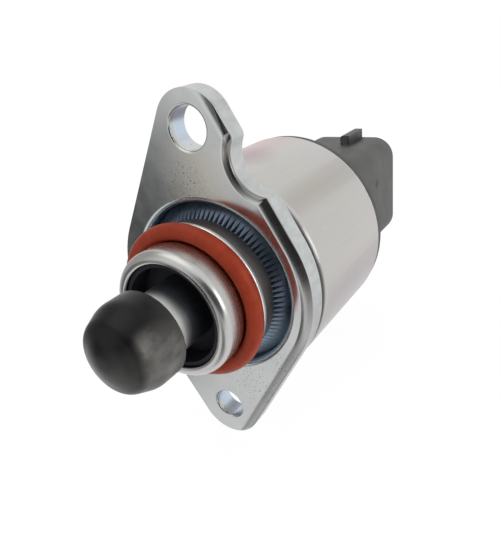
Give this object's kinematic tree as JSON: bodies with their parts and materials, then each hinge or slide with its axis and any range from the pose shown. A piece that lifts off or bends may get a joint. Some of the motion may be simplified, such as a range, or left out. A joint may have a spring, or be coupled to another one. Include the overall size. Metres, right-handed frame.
{
  "type": "idle air control valve",
  "caption": "Stepper-driven idle air control valve: flanged motor can, sealed nose with a sliding pintle, and a connector socket at the rear.",
  "frame": {"origin": "on the pintle's axis, in the flange's mounting face", "axes": "-Y along the pintle out of the nose, +Y to the connector, +Z to the larger flange ear"},
  "size_m": [0.035, 0.081, 0.0586],
  "materials": {
    "zinc_can": "zinc-plated, satin",
    "zinc_flange": "zinc-plated, satin",
    "nose_steel": "turned, satin",
    "serrated_steel": "zinc-plated, blue tint",
    "washer_steel": "bright",
    "stem_steel": "polished",
    "seal_red": "satin",
    "seal_black": "matte",
    "tip_plastic": "matte",
    "bush_plastic": "matte",
    "cap_plastic": "matte",
    "hub_plastic": "matte",
    "bobbin_plastic": "matte",
    "cage_plastic": "matte",
    "bearing_steel": "ground",
    "magnet_ferrite": "matte",
    "pole_steel": "plain",
    "coil_copper": "enamelled wire",
    "bush_bronze": "sintered",
    "spring_steel": "plain",
    "pin_tin": "tin-plated"
  },
  "bodies": {
    "valve_body": {"motor_can": "zinc_can", "flange_plate": "zinc_flange", "nose_housing": "nose_steel", "serrated_ring": "serrated_steel", "backing_washer": "washer_steel", "o_ring": "seal_red", "cap_seal": "seal_black", "guide_bush": "bush_plastic", "end_cap": "cap_plastic", "front_bobbin": "bobbin_plastic", "rear_bobbin": "bobbin_plastic", "bearing_outer_race": "bearing_steel", "front_coil_fore_plate": "pole_steel", "front_coil_aft_plate": "pole_steel", "rear_coil_fore_plate": "pole_steel", "rear_coil_aft_plate": "pole_steel", "front_winding": "coil_copper", "rear_winding": "coil_copper", "rear_bush": "bush_bronze", "spring_washer": "spring_steel", "terminal_pin_1": "pin_tin", "terminal_pin_2": "pin_tin", "terminal_pin_3": "pin_tin", "terminal_pin_4": "pin_tin"},
    "rotor": {"rotor_hub": "hub_plastic", "rotor_magnet": "magnet_ferrite", "bearing_inner_race": "bearing_steel"},
    "ball_train": {"bearing_balls": "bearing_steel", "ball_cage": "cage_plastic"},
    "pintle": {"pintle_tip": "tip_plastic", "pintle_stem": "stem_steel"}
  },
  "joints": [
    {"name": "rotor_spin", "type": "hinge", "parent": "valve_body", "child": "rotor", "pos_m": [0, 0, 0], "axis": [0, 1, 0], "range_deg": [-2520, 720]},
    {"name": "bearing_roll", "type": "hinge", "parent": "valve_body", "child": "ball_train", "pos_m": [0, 0, 0], "axis": [0, 1, 0], "range_deg": [-1080, 310]},
    {"name": "pintle_slide", "type": "slide", "parent": "valve_body", "child": "pintle", "axis": [0, -1, 0], "range_m": [-0.007, 0.002]}
  ],
  "couplings": [
    {"joint": "pintle_slide", "follows": "rotor_spin", "m_per_rad": 0.00015915},
    {"joint": "bearing_roll", "follows": "rotor_spin", "ratio": 0.4277}
  ]
}
